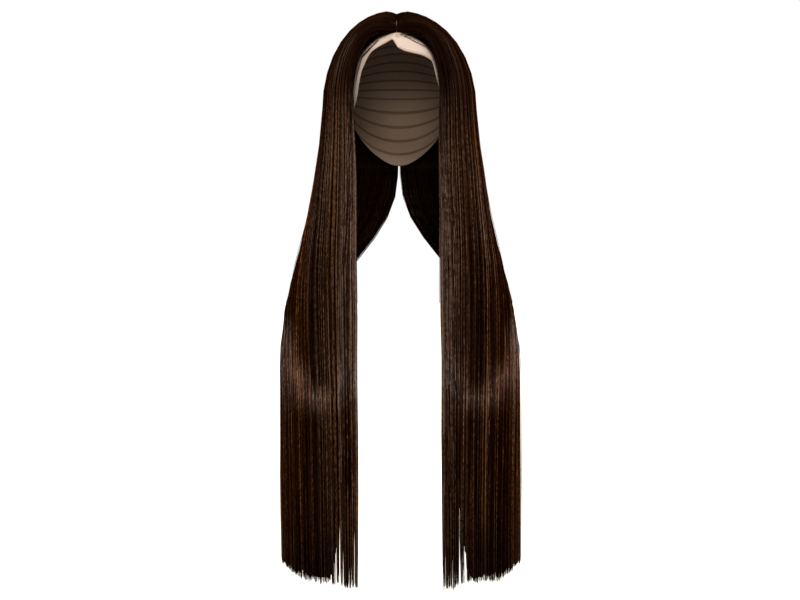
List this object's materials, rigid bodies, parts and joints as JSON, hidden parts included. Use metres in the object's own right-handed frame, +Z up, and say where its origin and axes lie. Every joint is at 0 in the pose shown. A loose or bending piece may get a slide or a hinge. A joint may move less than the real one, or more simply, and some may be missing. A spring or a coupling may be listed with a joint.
{
  "type": "wig",
  "caption": "Long straight dark brown lace-front wig in its worn form, with a centre part and its hair brought forward over both shoulders.",
  "frame": {"origin": "crown of the head inside the cap, where the wig sits", "axes": "+Z up, the face looks along -Y, +X to the right of someone who looks at the face"},
  "size_m": [0.3058, 0.2365, 0.7419],
  "materials": {
    "lace": "sheer skin-toned net",
    "cap_net": "matt stretch net",
    "hair": "smooth dark brown hair with a soft sheen"
  },
  "bodies": {
    "root": {"lace_front": "lace", "cap": "cap_net", "front_hair_right": "hair", "front_hair_left": "hair", "back_hair_right": "hair", "back_hair_left": "hair"}
  },
  "joints": []
}
